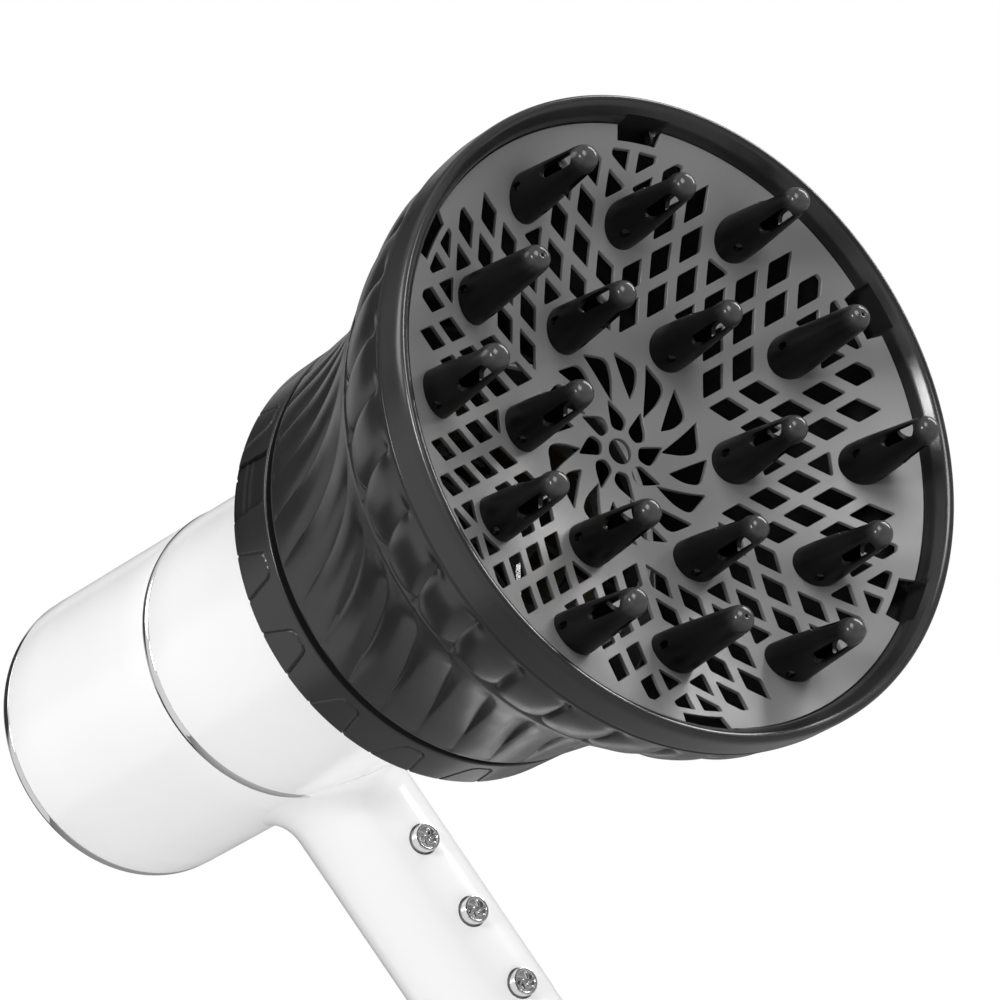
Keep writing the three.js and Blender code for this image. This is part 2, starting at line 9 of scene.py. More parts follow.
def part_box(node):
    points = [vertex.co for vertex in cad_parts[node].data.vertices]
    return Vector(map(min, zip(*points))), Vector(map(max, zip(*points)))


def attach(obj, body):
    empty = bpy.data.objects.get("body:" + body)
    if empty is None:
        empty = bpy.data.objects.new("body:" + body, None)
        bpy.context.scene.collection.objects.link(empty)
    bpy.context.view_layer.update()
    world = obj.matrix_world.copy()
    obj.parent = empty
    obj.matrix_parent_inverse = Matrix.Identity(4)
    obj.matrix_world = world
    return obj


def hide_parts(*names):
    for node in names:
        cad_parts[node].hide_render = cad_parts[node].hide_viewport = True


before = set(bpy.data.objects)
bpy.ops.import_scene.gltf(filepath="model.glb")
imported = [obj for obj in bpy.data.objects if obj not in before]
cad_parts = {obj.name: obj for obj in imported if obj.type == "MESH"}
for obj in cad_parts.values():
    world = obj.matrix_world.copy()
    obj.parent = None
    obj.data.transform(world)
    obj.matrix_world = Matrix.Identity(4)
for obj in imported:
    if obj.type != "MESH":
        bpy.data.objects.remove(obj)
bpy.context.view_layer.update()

MM = 0.001
scene = bpy.context.scene


# -------------------- places from the frame

def low_high(node):
    """A node's box in millimetres."""
    low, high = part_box(node)
    return np.array(low) / MM, np.array(high) / MM


CLAMP_LOW, CLAMP_HIGH = low_high("clamp_ring")
BOWL_LOW, BOWL_HIGH = low_high("diffuser_bowl")
HOUSING_LOW, HOUSING_HIGH = low_high("main_housing")
RING_LOW, RING_HIGH = low_high("chrome_ring")
COVER_LOW, COVER_HIGH = low_high("rear_cover")
PLATE_LOW, PLATE_HIGH = low_high("diffuser_plate")
TRIM_HIGH = low_high("rear_trim_ring")[1]
CAP_LOW = low_high("end_cap")[0]

AXIS_Z = (CLAMP_LOW[2] + CLAMP_HIGH[2]) / 2     # the barrel's axis
RIM_Y = BOWL_LOW[1]                             # plane of the diffuser's front rim
RIM_R = (BOWL_HIGH[0] - BOWL_LOW[0]) / 2
BARREL_FRONT = HOUSING_LOW[1]
BARREL_REAR = HOUSING_HIGH[1]
BARREL_R_REAR = (HOUSING_HIGH[0] - HOUSING_LOW[0]) / 2
BARREL_R = BARREL_R_REAR - 0.8
BARREL_R_FRONT = BARREL_R_REAR - 2.0
WALL = 2.4
RING_Y = (RING_LOW[1] + RING_HIGH[1]) / 2
RING_HALF = (RING_HIGH[1] - RING_LOW[1]) / 2
RING_GAP = 0.12            # between the inlaid ring and each side of its groove
REAR_Y = TRIM_HIGH[1]
HANDLE_R = 17.5
HANDLE_FOOT = HOUSING_LOW[2] - AXIS_Z
HANDLE_BLEND = 9.0

# The diffuser's dish and lattice, as the frame has them.
DISH_DEPTH = 28.0
DISH_CURVE = 0.0037
PLATE_R = (PLATE_HIGH[0] - PLATE_LOW[0]) / 2
PLATE_SHELL = 1.4          # thickness round the holes
PITCH = 9.25
STRIP = 2.6
LATTICE_R = 7.8 * PITCH
LATTICE_TURN = -36.0
FIRST_CELL = 3             # how far out from the middle each sixth's cells start
HOLE_CORNER = 0.55
HOLE_LEAST = 5.0           # smaller scraps of holes, in square millimetres, are left solid
PLATE_EDGE = 2.4           # longest edge of the plate's mesh, so that it follows the dish
PRONG_R = 6.0
PRONG_TIP_R = 3.5
PRONG_LENGTH = 27.0
PRONG_LENGTH_CLOSED = 29.0
PRONG_ROOT = 3.2           # how far a prong's foot goes into the plate
PRONG_TURN = 56.0          # a prong's first slot, round from its sixth of the lattice
PAD_R = PRONG_R + 1.5      # solid plate round each prong
CLAMP_FRONT = CLAMP_LOW[1] - RIM_Y
CLAMP_REAR = CLAMP_HIGH[1] - RIM_Y
CLAMP_R = (CLAMP_HIGH[0] - CLAMP_LOW[0]) / 2

# The bowl's rear: a flange, and a spigot that the clamp ring turns on.
SPIGOT_END = BOWL_HIGH[1] - RIM_Y
BOWL_END = SPIGOT_END - 4.0
SPIGOT_R = CLAMP_R - 3.1
FLANGE = 2.9               # the flange's thickness
NECK_R = 45.1              # opening in the flange
COLLAR_R = 47.2            # opening in the clamp ring's rear

# The diffuser's facets, flutes and tabs.
FLUTES = 34
FIRST_CREST = 165.7        # angle of one crest where the facets start
FACET_START = 10.4
RIDGE_Y = 37.0
RIDGE_R = 74.0
FLUTE_END = 92.0
TABS = 18
TAB_MIDDLE = 155.5
RELEASE_PADS = (133.5, 313.5)     # the middles of the two black push-pads


def dish(r):
    return DISH_DEPTH - DISH_CURVE * r * r


def polar(r, degrees):
    return r * math.cos(math.radians(degrees)), r * math.sin(math.radians(degrees))


# -------------------- mesh tools

def on_barrel(points):
    """Points in millimetres from the barrel's axis, over the handle, as points of the frame in metres."""
    return (np.asarray(points, float) + (0, 0, AXIS_Z)) * MM


def on_diffuser(points):
    """Points in millimetres from the middle of the diffuser's rim plane, in metres of the frame."""
    return (np.asarray(points, float) + (0, RIM_Y, AXIS_Z)) * MM


def add_object(name, data):
    thing = bpy.data.objects.new(name, data)
    scene.collection.objects.link(thing)
    return thing


def remove_object(thing):
    mesh = thing.data
    bpy.data.objects.remove(thing)
    bpy.data.meshes.remove(mesh)


def shade(piece, sharp=35):
    piece.data.shade_smooth()
    piece.data.set_sharp_from_angle(angle=math.radians(sharp))


def loose_mesh(name, points, faces, weld=0.0):
    """An object with outward faces. Points closer than weld become one."""
    mesh = bpy.data.meshes.new(name)
    mesh.from_pydata([tuple(p) for p in points], [], [tuple(map(int, f)) for f in faces])
    work = bmesh.new()
    work.from_mesh(mesh)
    if weld:
        bmesh.ops.remove_doubles(work, verts=work.verts, dist=weld)
    bmesh.ops.recalc_face_normals(work, faces=work.faces)
    work.to_mesh(mesh)
    work.free()
    return add_object(name, mesh)


def make_piece(name, points, faces, body, material, slot, nodes=(), sharp=35):
    """A smooth-shaded piece that rides on a body and stands for CAD nodes."""
    piece = loose_mesh(name, points, faces, weld=1e-7)
    shade(piece, sharp)
    claim(piece, body, material, nodes)
    return piece


def claim(piece, body, material, nodes):
    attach(piece, body)
    if nodes:
        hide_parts(*nodes)
    paint(piece, material)


def paint(piece, material):
    piece.data.materials.clear()
    piece.data.materials.append(material)


def rounded(corners, steps=5, closed=True):
    """An outline from (u, v, radius) corners, each eased to about its radius."""
    outline = []
    count = len(corners)
    for i, (u, v, radius) in enumerate(corners):
        here = np.array((u, v), float)
        at_end = not closed and i in (0, count - 1)
        if radius <= 0 or at_end:
            outline.append(here)
            continue
        before = np.array(corners[i - 1][:2]) - here
        after = np.array(corners[(i + 1) % count][:2]) - here
        reach_before = min(radius, 0.45 * np.linalg.norm(before))
        reach_after = min(radius, 0.45 * np.linalg.norm(after))
        start = here + before / np.linalg.norm(before) * reach_before
        end = here + after / np.linalg.norm(after) * reach_after
        for t in np.linspace(0, 1, steps + 1):
            outline.append((1 - t) ** 2 * start + 2 * t * (1 - t) * here + t * t * end)
    return np.array(outline)


def refined(outline, step, closed=True):
    """The outline with points added so that none are further apart than step."""
    points = []
    last = len(outline) if closed else len(outline) - 1
    for i in range(last):
        a, b = outline[i], outline[(i + 1) % len(outline)]
        pieces = max(1, math.ceil(np.linalg.norm(b - a) / step))
        points += [a + (b - a) * k / pieces for k in range(pieces)]
    if not closed:
        points.append(outline[-1])
    return np.array(points)


def grid_faces(rows, columns, wrap_rows):
    """Quads of a grid whose columns wrap round, and its rows too if wrap_rows."""
    row = np.arange(rows if wrap_rows else rows - 1)[:, None]
    column = np.arange(columns)[None, :]
    below, right = (row + 1) % rows, (column + 1) % columns
    corners = [row * columns + column, row * columns + right, below * columns + right,
               below * columns + column]
    return np.stack([np.broadcast_to(c, (len(row), columns)) for c in corners], -1).reshape(-1, 4)


def revolve(outline, columns, lift=None, turn=0.0):
    """A closed (radius, y) outline turned round the Y axis.

    lift(angle, r, y) adds to the radius, and turn is each row's own start angle, in degrees.
    """
    angle = np.arange(columns) * 2 * np.pi / columns
    r = np.repeat(outline[:, :1], columns, 1)
    y = np.repeat(outline[:, 1:], columns, 1)
    a = np.broadcast_to(angle, r.shape) + np.broadcast_to(np.radians(turn), len(outline))[:, None]
    if lift is not None:
        r = r + lift(np.degrees(a), r, y)
    points = np.stack([r * np.cos(a), y, r * np.sin(a)], -1).reshape(-1, 3)
    return points, grid_faces(len(outline), columns, True)


def cut(piece, cutters):
    """Cuts the piece by each cutter object, then removes the cutters."""
    for cutter in cutters:
        modifier = piece.modifiers.new("cut", "BOOLEAN")
        modifier.operation = "DIFFERENCE"
        modifier.solver = "EXACT"
        modifier.object = cutter
    bake(piece)
    for cutter in cutters:
        remove_object(cutter)


def as_mesh(thing):
    """The mesh that an object's modifiers or curve settings make."""
    bpy.context.view_layer.update()
    return bpy.data.meshes.new_from_object(thing.evaluated_get(bpy.context.evaluated_depsgraph_get()))


def bake(piece):
    """Replaces a piece's mesh by what its modifiers make of it."""
    done = as_mesh(piece)
    piece.modifiers.clear()
    old = piece.data
    piece.data = done
    bpy.data.meshes.remove(old)


def join(tools):
    """Merges loose tool meshes into the first one."""
    work = bmesh.new()
    for tool in tools:
        work.from_mesh(tool.data)
    work.to_mesh(tools[0].data)
    work.free()
    for tool in tools[1:]:
        remove_object(tool)
    return tools[0]


def prism(near, far):
    """Points and faces of a solid between two outlines that have as many points each."""
    count = len(near)
    faces = [tuple(range(count)), tuple(range(count, 2 * count))]
    faces += [(i, (i + 1) % count, count + (i + 1) % count, count + i) for i in range(count)]
    return np.array([*near, *far]), faces


def bar(outline, start, end):
    """A prism whose outline's (u, v) points are x and z, and which runs along y."""
    return prism(*([(u, y, v) for u, v in outline] for y in (start, end)))


def capsule(start, end, half):
    """A round-ended slot's outline: (across, along) points from start to end, with its ends included."""
    outline = []
    for along, sign in ((start + half, -1), (end - half, 1)):
        for a in np.linspace(0, math.pi, 9):
            outline.append((sign * half * math.cos(a), along + sign * half * math.sin(a)))
    return outline


SQUARE = ((-1, -1), (1, -1), (1, 1), (-1, 1))


def circle(r, count, u=0.0, v=0.0):
    angles = np.arange(count) * 2 * np.pi / count
    return np.stack([u + r * np.cos(angles), v + r * np.sin(angles)], -1)


# -------------------- materials

def new_material(name):
    material = bpy.data.materials.new(name)
    material.use_nodes = True
    nodes = material.node_tree.nodes
    return material, nodes, material.node_tree.links, nodes["Principled BSDF"]


def noise(nodes, links, scale, detail, roughness=0.5, stretch=(1, 1, 1)):
    """Noise in the piece's own coordinates, which are metres of the frame."""
    place = nodes.new("ShaderNodeTexCoord")
    mapping = nodes.new("ShaderNodeMapping")
    mapping.inputs["Scale"].default_value = stretch
    texture = nodes.new("ShaderNodeTexNoise")
    texture.inputs["Scale"].default_value = scale
    texture.inputs["Detail"].default_value = detail
    texture.inputs["Roughness"].default_value = roughness
    links.new(place.outputs["Object"], mapping.inputs["Vector"])
    links.new(mapping.outputs["Vector"], texture.inputs["Vector"])
    return texture.outputs["Fac"]


def ramp(nodes, links, factor, stops):
    node = nodes.new("ShaderNodeValToRGB")
    node.color_ramp.elements[0].position = stops[0][0]
    node.color_ramp.elements[0].color = stops[0][1]
    node.color_ramp.elements[1].position = stops[-1][0]
    node.color_ramp.elements[1].color = stops[-1][1]
    for position, colour in stops[1:-1]:
        node.color_ramp.elements.new(position).color = colour
    links.new(factor, node.inputs["Fac"])
    return node.outputs["Color"]


def grey(value, tint=(1, 1, 1)):
    return (value * tint[0], value * tint[1], value * tint[2], 1)


def bump(nodes, links, shader, height, distance):
    node = nodes.new("ShaderNodeBump")
    node.inputs["Distance"].default_value = distance
    links.new(height, node.inputs["Height"])
    links.new(node.outputs["Normal"], shader.inputs["Normal"])


def moulded(name, low, high, rough_low, rough_high, grain=0.0, grain_scale=2500, tint=(1, 1, 1),
            coat=0.0, shine=0.5):
    """Moulded plastic: soft colour drift, uneven gloss, and a fine spark-eroded grain if asked."""
    material, nodes, links, shader = new_material(name)
    drift = noise(nodes, links, 18, 4)
    links.new(ramp(nodes, links, drift, [(0.3, grey(low, tint)), (0.7, grey(high, tint))]),
              shader.inputs["Base Color"])
    gloss = noise(nodes, links, 70, 5, 0.6)
    links.new(ramp(nodes, links, gloss, [(0.3, grey(rough_low)), (0.7, grey(rough_high))]),
              shader.inputs["Roughness"])
    if grain:
        bump(nodes, links, shader, noise(nodes, links, grain_scale, 2), grain)
    shader.inputs["Coat Weight"].default_value = coat
    shader.inputs["Coat Roughness"].default_value = 0.08
    shader.inputs["Specular IOR Level"].default_value = shine
    shader.inputs["IOR"].default_value = 1.5
    return material


def plated(name, value, rough_low, rough_high, tint=(1, 1, 1)):
    """Bright plating or bare metal with faint wipe marks in its gloss."""
    material, nodes, links, shader = new_material(name)
    shader.inputs["Metallic"].default_value = 1.0
    drift = noise(nodes, links, 40, 3)
    links.new(ramp(nodes, links, drift, [(0.3, grey(value * 0.95, tint)), (0.7, grey(value, tint))]),
              shader.inputs["Base Color"])
    wipe = noise(nodes, links, 160, 5, 0.6, (1, 0.2, 1))
    links.new(ramp(nodes, links, wipe, [(0.35, grey(rough_low)), (0.75, grey(rough_high))]),
              shader.inputs["Roughness"])
    return material


def prong_plastic():
    """Glossy black that turns to soft grey at the prong's tip, a painted highlight."""
    material, nodes, links, shader = new_material("prong_plastic")
    place = nodes.new("ShaderNodeTexCoord")
    split = nodes.new("ShaderNodeSeparateXYZ")
    links.new(place.outputs["Generated"], split.inputs["Vector"])
    wobble = nodes.new("ShaderNodeMath")
    wobble.operation = "MULTIPLY_ADD"
    wobble.inputs[1].default_value = 0.04
    links.new(noise(nodes, links, 220, 3), wobble.inputs[0])
    links.new(split.outputs["Y"], wobble.inputs[2])
    # Painted highlight: the base colour turns from black to grey towards the tip, where the glossy dome
    # catches the light.
    painted_tip_highlight = [(0.0, grey(0.045)), (0.08, grey(0.02)), (0.15, grey(0.005)), (0.24, grey(0.002))]
    links.new(ramp(nodes, links, wobble.outputs["Value"], painted_tip_highlight), shader.inputs["Base Color"])
    gloss = [(0.05, grey(0.2)), (0.35, grey(0.42))]
    shader.inputs["Specular IOR Level"].default_value = 0.3
    links.new(ramp(nodes, links, wobble.outputs["Value"], gloss), shader.inputs["Roughness"])
    return material


def woven_screen():
    """Fine metal gauze for the intake filter."""
    material, nodes, links, shader = new_material("filter_gauze")
    place = nodes.new("ShaderNodeTexCoord")
    shader.inputs["Metallic"].default_value = 0.9
    heights = []
    for axis in ("X", "Z"):
        wave = nodes.new("ShaderNodeTexWave")
        wave.bands_direction = axis
        wave.inputs["Scale"].default_value = 330
        links.new(place.outputs["Object"], wave.inputs["Vector"])
        heights.append(wave.outputs["Fac"])
    both = nodes.new("ShaderNodeMath")
    both.operation = "MAXIMUM"
    links.new(heights[0], both.inputs[0])
    links.new(heights[1], both.inputs[1])
    links.new(ramp(nodes, links, both.outputs["Value"], [(0.55, grey(0.01)), (0.8, grey(0.45))]),
              shader.inputs["Base Color"])
    shader.inputs["Roughness"].default_value = 0.4
    bump(nodes, links, shader, both.outputs["Value"], 0.0003)
    return material


def wound_wire():
    """Copper winding on the motor's rotor."""
    material, nodes, links, shader = new_material("rotor_winding")
    place = nodes.new("ShaderNodeTexCoord")
    shader.inputs["Metallic"].default_value = 1.0
    wave = nodes.new("ShaderNodeTexWave")
    wave.bands_direction = "Y"
    wave.inputs["Scale"].default_value = 400
    wave.inputs["Distortion"].default_value = 1.5
    links.new(place.outputs["Object"], wave.inputs["Vector"])
    copper = [(0.1, (0.12, 0.04, 0.02, 1)), (0.6, (0.7, 0.32, 0.16, 1))]
    links.new(ramp(nodes, links, wave.outputs["Fac"], copper), shader.inputs["Base Color"])
    shader.inputs["Roughness"].default_value = 0.35
    bump(nodes, links, shader, wave.outputs["Fac"], 0.0002)
    return material


WHITE = moulded("white_gloss", 0.80, 0.82, 0.18, 0.26, coat=0.3)
CHARCOAL = moulded("charcoal_matte", 0.011, 0.015, 0.20, 0.27, grain=0.000012, grain_scale=3500)
PLATE_GREY = moulded("plate_satin", 0.115, 0.14, 0.34, 0.42, grain=0.00001, grain_scale=3500)
BLACK = moulded("gloss_black", 0.006, 0.010, 0.14, 0.22)
MATT_BLACK = moulded("matt_black", 0.002, 0.003, 0.5, 0.6, shine=0.15)
RUBBER = moulded("soft_rubber", 0.012, 0.02, 0.6, 0.75, grain=0.00003)
MICA = moulded("mica_sheet", 0.12, 0.2, 0.4, 0.7, grain=0.00005, grain_scale=600,
               tint=(1, 0.82, 0.55))
CERAMIC = moulded("ceramic_sleeve", 0.70, 0.78, 0.4, 0.6)
BOARD = moulded("circuit_board", 0.10, 0.14, 0.25, 0.4, tint=(0.15, 1, 0.4))
CHROME = plated("polished_chrome", 0.80, 0.03, 0.07)
STEEL = plated("brushed_steel", 0.55, 0.22, 0.38)
PRONG = prong_plastic()
GAUZE = woven_screen()
COPPER = wound_wire()


# -------------------- housing

def barrel_drop(x):
    return -np.sqrt(BARREL_R ** 2 - x ** 2)


def barrel_shell():
    """The barrel's wall, with the groove for the inlaid ring, turned as one closed outline."""
    groove = BARREL_R - 1.3
    half = RING_HALF + RING_GAP
    inner_front, inner_rear = BARREL_R_FRONT - WALL, BARREL_R_REAR - WALL
    corners = [
        (inner_front, BARREL_FRONT, 0.3), (BARREL_R_FRONT, BARREL_FRONT, 1.8),
        (BARREL_R, RING_Y - half, 0.25), (groove, RING_Y - half, 0),
        (groove, RING_Y + half, 0), (BARREL_R, RING_Y + half, 0.25),
        (BARREL_R_REAR, BARREL_REAR, 0.3), (inner_rear, BARREL_REAR, 0.2),
        (inner_front + 0.6, RING_Y, 0),
    ]
    points, faces = revolve(refined(rounded(corners, 4), 12), 256)
    return on_barrel(points), faces


def handle_shell():
    """The handle from its foot up to the barrel, with a skirt that meets the barrel at a tangent."""
    columns = 144
    angle = np.arange(columns) * 2 * np.pi / columns
    ux, uy = np.cos(angle), np.sin(angle)

    def level(r, z):
        return np.stack([r * ux, r * uy, np.full(columns, float(z))], -1)

    def blend(t):
        corner = barrel_drop(HANDLE_R * ux)
        r = HANDLE_R + HANDLE_BLEND * t * t
        end = barrel_drop((HANDLE_R + HANDLE_BLEND) * ux)
        drop = (1 - t) ** 2 * (corner - HANDLE_BLEND) + 2 * t * (1 - t) * corner + t * t * end
        # Sink the last of the skirt just under the barrel's face.
        return np.stack([r * ux, r * uy, drop + 0.03 * t ** 4], -1)

    foot = rounded([
        (0.0, HANDLE_FOOT + 12, 0), (HANDLE_R - WALL, HANDLE_FOOT + 12, 0),
        (HANDLE_R - WALL, HANDLE_FOOT, 0.3), (HANDLE_R, HANDLE_FOOT, 2.6),
        (HANDLE_R, HANDLE_FOOT + 6, 0),
    ], 6, closed=False)
    rings = [level(max(r, 0.01), z) for r, z in foot]
    rings += [level(HANDLE_R, z) for z in np.linspace(HANDLE_FOOT + 10, -62, 24)]
    rings += [blend(t) for t in np.linspace(0, 1, 22)]
    rings += [level(HANDLE_R + HANDLE_BLEND - 2, -30), level(0.01, -30)]
    points = np.concatenate(rings)
    return on_barrel(points), grid_faces(len(rings), columns, False)


BUTTONS = ("power", "speed", "heat")
BUTTON_R = 3.85
BUTTON_HOLE_R = BUTTON_R + 0.5
BUTTON_RECESS = 0.4
HANDLE_FACE = -HANDLE_R
ARCS = 6


def build_housing():
    make_piece("barrel_shell", *barrel_shell(), "housing", WHITE, "white_shell", ["main_housing"])
    handle = make_piece("handle_shell", *handle_shell(), "housing", WHITE, "white_shell")
    holes = []
    for use in BUTTONS:
        low, high = low_high(f"{use}_button")
        outline = circle(BUTTON_HOLE_R, 48, 0, (low[2] + high[2]) / 2)
        points, faces = bar(outline, HANDLE_FACE - 4, HANDLE_FACE + 3.2)
        holes.append(loose_mesh("hole", points * MM, faces))
    cut(handle, holes)
    shade(handle)


def build_ring():
    """The inlaid ring: a low rounded band. It runs under the handle's skirt, which hides its ends."""
    half = RING_HALF
    outline = refined(rounded([
        (BARREL_R - 1.2, RING_Y - half, 0), (BARREL_R - 0.05, RING_Y - half, 0.35),
        (BARREL_R + 0.38, RING_Y - 0.2, 1.2), (BARREL_R + 0.05, RING_Y + half, 0.35),
        (BARREL_R - 1.2, RING_Y + half, 0),
    ], 5), 1.0)
    points, faces = revolve(outline, 288)
    make_piece("inlaid_ring", on_barrel(points), faces, "housing", CHROME, "chrome", ["chrome_ring"])


def build_rear_rim():
    inner, outer, front = TRIM_HIGH[0] - 3.7, BARREL_R_REAR - 0.05, BARREL_REAR + 0.25
    outline = rounded([
        (inner, front, 0.1), (outer, front, 0.25), (outer, REAR_Y, 2.0), (inner, REAR_Y, 0.5),
    ], 8)
    points, faces = revolve(refined(outline, 1.0), 256)
    make_piece("rear_rim", on_barrel(points), faces, "housing", CHROME, "chrome", ["rear_trim_ring"])


def build_buttons():
    """Chrome buttons with a raised pinwheel of arcs, each on its own sprung body."""
    collar_r, stem_r = 4.9, 1.6
    for use in BUTTONS:
        low, high = low_high(f"{use}_button")
        face, back = low[1], high[1]
        floor = face + BUTTON_RECESS
        outline = rounded([
            (0.01, floor, 0), (BUTTON_R - 0.9, floor, 0.1), (BUTTON_R - 0.8, face, 0.15),
            (BUTTON_R, face, 0.35), (BUTTON_R, HANDLE_FACE + 2.4, 0.1),
            (collar_r, HANDLE_FACE + 2.6, 0.1), (collar_r, HANDLE_FACE + 3.5, 0.1),
            (stem_r, HANDLE_FACE + 3.6, 0.1), (stem_r, back, 0.2), (0.01, back, 0),
        ], 5)
        points, quads = revolve(outline, 96)
        faces = [tuple(f) for f in quads]
        for k in range(ARCS):
            arc_points, arc_faces = ornament_arc(360 / ARCS * k, face)
            faces += [tuple(len(points) + i for i in f) for f in arc_faces]
            points = np.concatenate([points, arc_points])
        points = (points + (0, 0, (low[2] + high[2]) / 2)) * MM
        make_piece(f"{use}_key", points, faces, f"{use}_button", CHROME, "chrome", [f"{use}_button"],
                   sharp=40)


def ornament_arc(turn, face):
    """A small raised crescent on a button's face."""
    steps, corners = 9, 5
    shares = np.linspace(0, 1, steps)
    spine = [np.array(polar(0.7 + 1.9 * t, turn + 55 * t)) for t in shares]
    crest, shoulder, root = face + 0.02, face + 0.08, face + 0.5
    points = []
    for i, (t, middle) in enumerate(zip(shares, spine)):
        ahead = spine[min(i + 1, steps - 1)] - spine[max(i - 1, 0)]
        width = 0.06 + 0.30 * math.sin(math.pi * t)
        side = np.array((-ahead[1], ahead[0])) / np.linalg.norm(ahead) * width
        a, b = middle - side, middle + side
        points += [(a[0], root, a[1]), (a[0], shoulder, a[1]), (middle[0], crest, middle[1]),
                   (b[0], shoulder, b[1]), (b[0], root, b[1])]
    faces = [tuple(f) for f in grid_faces(steps, corners, False)]
    for end in (0, corners * (steps - 1)):
        faces += [(end, end + 1, end + 2, end + 4), (end + 2, end + 3, end + 4)]
    return np.array(points), faces


INLET_R = 5.0
SCREW_R = 2.5
SCREW_BACK = -9.5          # the screw's place along Y, from the handle's axis


def upright(points):
    """Points turned from the Y axis to stand along Z, in metres of the frame."""
    x, y, z = np.asarray(points, float).T
    return on_barrel(np.stack([x, z, y], -1))


def build_foot():
    """End cap, cord inlet and screw in the handle's foot."""
    foot = CAP_LOW[2] - AXIS_Z
    inner, outer = INLET_R + 0.25, HANDLE_R - WALL - 0.15
    points, faces = revolve(refined(rounded([
        (inner, foot + 0.1, 0.3), (outer, foot + 0.1, 0.6),
        (outer, foot + 3.5, 0.2), (inner, foot + 3.5, 0.1),
    ], 5), 2.5), 96)
    cap = make_piece("foot_cap", upright(points), faces, "housing", WHITE, "white_shell", ["end_cap"])
    points, faces = bar(circle(SCREW_R + 0.25, 40, 0, SCREW_BACK), foot - 1, foot + 2.1)
    cut(cap, [loose_mesh("screw_seat", upright(points), faces)])
    shade(cap)
    points, faces = revolve(refined(rounded([
        (3.0, foot + 0.1, 0.7), (INLET_R, foot + 0.1, 0.5), (INLET_R, foot + 4.0, 0.1),
        (6.4, foot + 4.0, 0.3), (6.4, foot + 6.0, 0.3), (3.0, foot + 6.0, 0.3),
    ], 5), 1.5), 64)
    make_piece("cord_grommet", upright(points), faces, "housing", RUBBER, "rubber", ["cord_inlet"])
    points, faces = revolve(rounded([
        (0.01, foot + 0.5, 0), (SCREW_R, foot + 0.5, 0.5), (SCREW_R, foot + 1.8, 0.1),
        (1.5, foot + 1.9, 0), (1.5, foot + 9, 0.2), (0.01, foot + 9, 0),
    ], 5), 48)
    screw = make_piece("foot_screw", upright(points) + (0, SCREW_BACK * MM, 0), faces, "housing", STEEL,
                       "steel", ["cap_screw"])
    drive = []
    for half_u, half_v in ((1.4, 0.3), (0.3, 1.4)):
        outline = [(s * half_u, SCREW_BACK + t * half_v) for s, t in SQUARE]
        points, faces = bar(outline, foot - 1, foot + 1.1)
        drive.append(loose_mesh("drive", upright(points), faces))
    cut(screw, drive)
    shade(screw)


# -------------------- rear cover

COVER_SLOTS = 24           # every other one is short
SLOT_HALF = 1.15


def build_rear_cover():
    """Dished intake cover with radial slots and a short skirt."""
    outer = (COVER_HIGH[0] - COVER_LOW[0]) / 2 - 0.1
    face = COVER_HIGH[1]
    skirt = COVER_LOW[1]
    points, faces = revolve(refined(rounded([
        (0.01, face - 1.4, 0), (10, face - 1.1, 6), (30, face - 0.9, 3), (34.5, face, 2.5),
        (outer, face, 1.0), (outer, face - 2.6, 0.2), (outer - 0.7, face - 2.6, 0.1),
        (outer - 0.7, skirt, 0.3), (outer - 2.7, skirt, 0.3), (outer - 2.7, face - 2.8, 0.4),
        (0.01, face - 3.0, 0),
    ], 5), 2.0), 192)
    cover = make_piece("intake_cover", on_barrel(points), faces, "rear_cover", WHITE, "white_shell",
                       ["rear_cover"])
    slots = []
    for k in range(COVER_SLOTS):
        start, end = (19.5 if k % 2 else 12.5) - SLOT_HALF, 31 + SLOT_HALF
        c, s = polar(1, k * 360 / COVER_SLOTS)
        outline = [(u * c - v * s, u * s + v * c) for v, u in capsule(start, end, SLOT_HALF)]
        points, faces = bar(outline, face - 6, face + 3)
        slots.append(loose_mesh("slot", on_barrel(points), faces))
    cut(cover, [join(slots)])
    shade(cover)


# -------------------- diffuser bowl

def smooth_step(t):
    t = np.clip(t, 0, 1)
    return t * t * (3 - 2 * t)


WAIST = rounded([
    (RIM_R - 0.15, FACET_START, 0), (81.3, 18, 5), (78.4, 27.5, 5), (RIDGE_R, RIDGE_Y, 0),
    (66.2, 54.5, 13), (61.4, 73, 12), (CLAMP_R + 0.2, FLUTE_END, 0),
], 10, closed=False)


def swirl(y):
    """Angle of the first crest at a height: facets lean a little, and the flutes sweep far round."""
    facet = np.clip((y - FACET_START) / (RIDGE_Y - FACET_START), 0, 1)
    flute = np.clip((y - RIDGE_Y) / (FLUTE_END - RIDGE_Y), 0, 1)
    return FIRST_CREST + 4.0 * facet ** 1.6 + 20.0 * flute ** 0.9


def bowl_lift(angle, r, y):
    """How far the bowl's outside stands off its plain round form: pillowed facets, then flutes."""
    u = np.mod((angle - swirl(y)) * FLUTES / 360, 1)
    u = np.where(u > 1 - 1e-6, 0, u)
    pillow = np.abs(2 * u ** 0.85 - 1) ** 3
    t = np.clip((y - FACET_START) / (RIDGE_Y - FACET_START), 0, 1)
    # Each facet ends in a rounded tongue, behind a crease just before the ridge.
    crease = 0.5 * np.exp(-((t - 0.93 + 0.08 * pillow) / 0.04) ** 2)
    facet = -1.3 * pillow * smooth_step(t / 0.12) * smooth_step((1.02 - t) / 0.15) - crease
    t = np.clip((y - RIDGE_Y) / (FLUTE_END - RIDGE_Y), 0, 1)
    depth = 2.2 * smooth_step(t / 0.25) - 1.9 * smooth_step((t - 0.35) / 0.65)
    flute = -depth * np.abs(2 * u ** 0.7 - 1) ** 2.6
    lift = np.where(y <= RIDGE_Y, facet, np.where(y < FLUTE_END, flute, 0))
    outside = (r > np.interp(y, WAIST[:, 1], WAIST[:, 0]) - 1.2) & (y > FACET_START)
    return np.where(outside, lift, 0)


